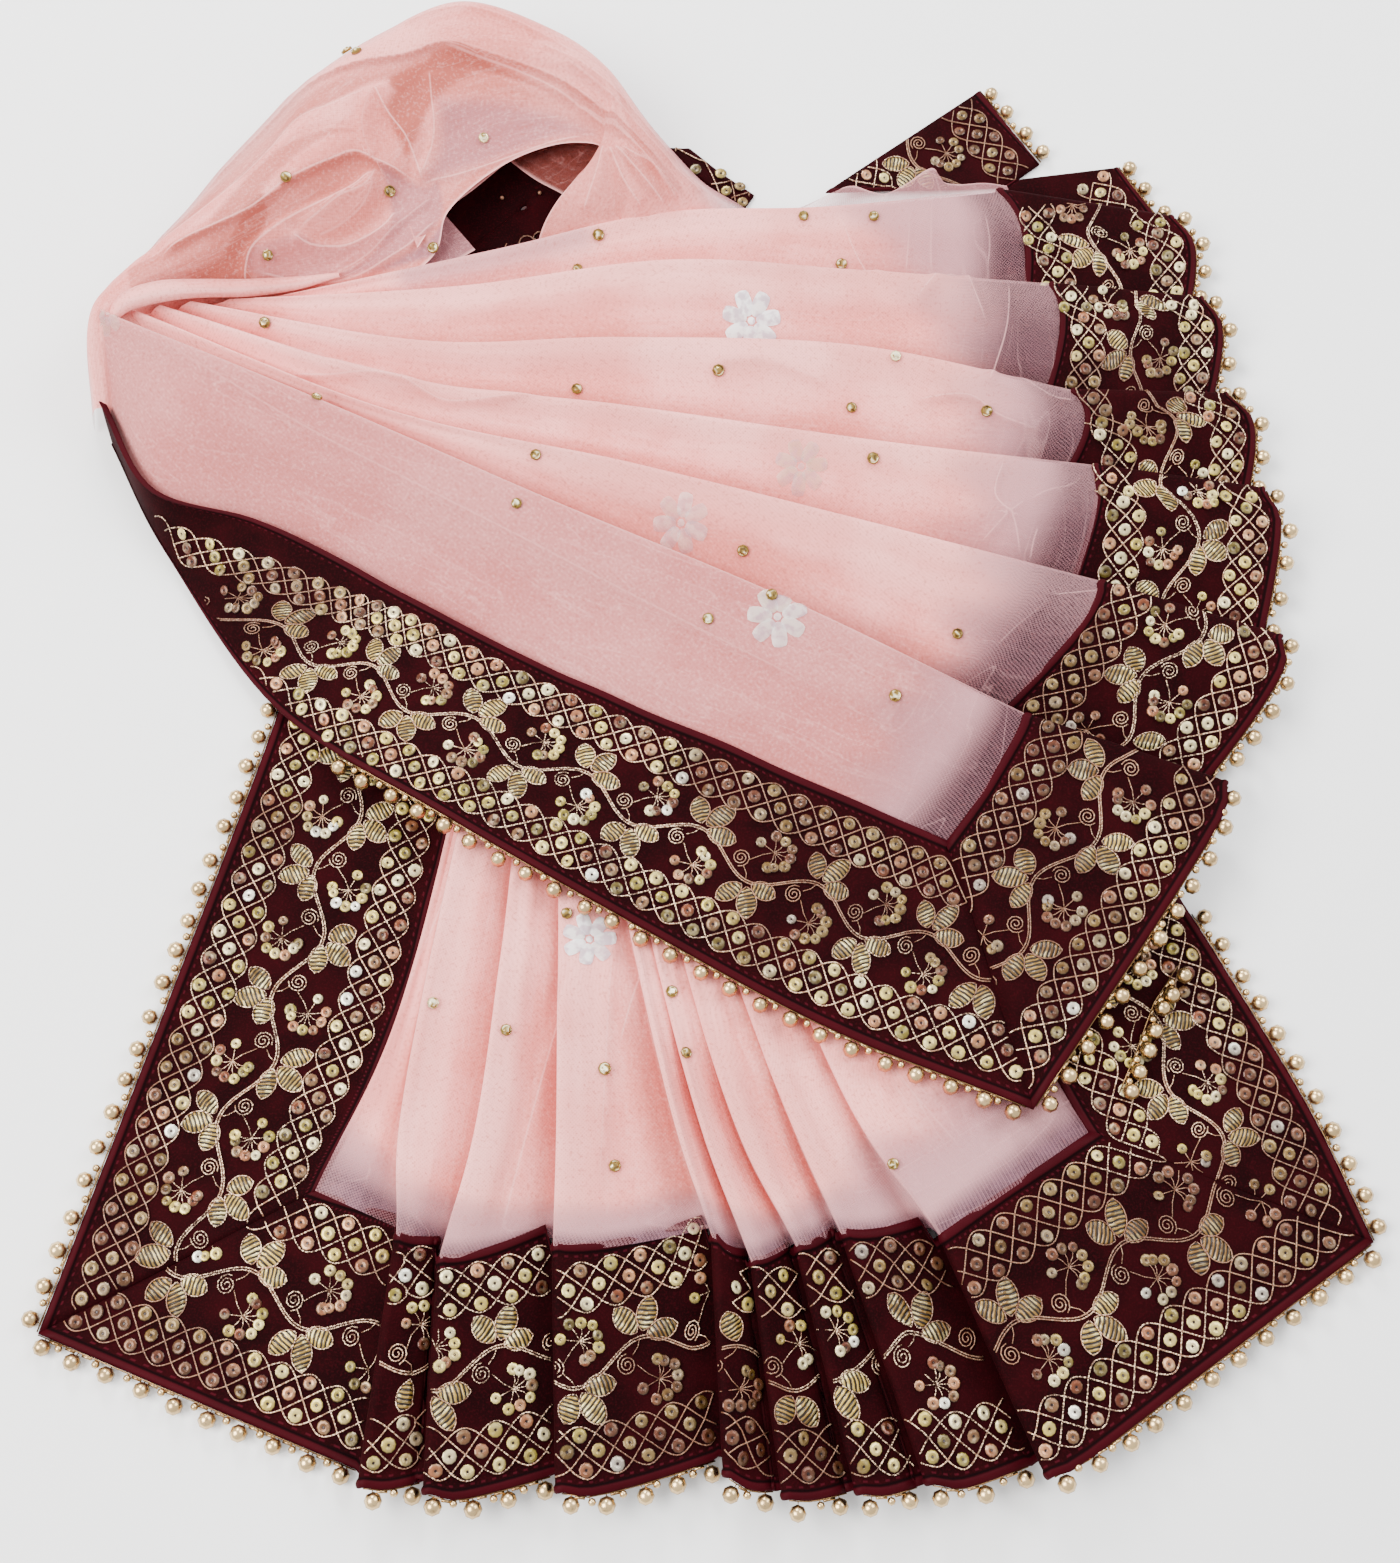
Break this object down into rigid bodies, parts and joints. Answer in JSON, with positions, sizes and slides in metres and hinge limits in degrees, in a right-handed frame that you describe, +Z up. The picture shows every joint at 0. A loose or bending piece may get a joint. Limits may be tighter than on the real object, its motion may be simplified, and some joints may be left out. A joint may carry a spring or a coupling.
{
  "type": "dupatta stole",
  "caption": "Folded soft-net dupatta stole with a wide embroidered velvet border and a bead edging, looped once and laid flat with both pleated ends fanned out.",
  "frame": {"origin": "centre of the bounding box on the surface that the cloth lies on", "axes": "+Y from the fanned lower end towards the loop, +X towards the end that fans sideways, +Z up from the surface"},
  "size_m": [0.4762, 0.5886, 0.0472],
  "materials": {
    "net": "soft sheer net, matte",
    "velvet": "dark velvet pile",
    "beads": "polished gold-coloured beads"
  },
  "bodies": {
    "root": {"net_lower_fan": "net", "net_upper_fan": "net", "net_loop": "net", "velvet_lower_left": "velvet", "velvet_lower_end": "velvet", "velvet_lower_right": "velvet", "velvet_upper_side": "velvet", "velvet_upper_end": "velvet", "velvet_upper_corner": "velvet", "velvet_loop_inside": "velvet", "velvet_loop_outside": "velvet", "beads_lower_0": "beads", "beads_lower_1": "beads", "beads_lower_2": "beads", "beads_lower_3": "beads", "beads_lower_4": "beads", "beads_lower_5": "beads", "beads_lower_6": "beads", "beads_lower_7": "beads", "beads_lower_8": "beads", "beads_upper_1": "beads", "beads_upper_2": "beads", "beads_upper_3": "beads", "beads_upper_4": "beads", "beads_upper_5": "beads", "beads_upper_6": "beads", "beads_upper_7": "beads", "beads_upper_8": "beads", "beads_lower_left": "beads", "beads_lower_right": "beads", "beads_upper_side": "beads", "beads_cluster": "beads"}
  },
  "joints": []
}
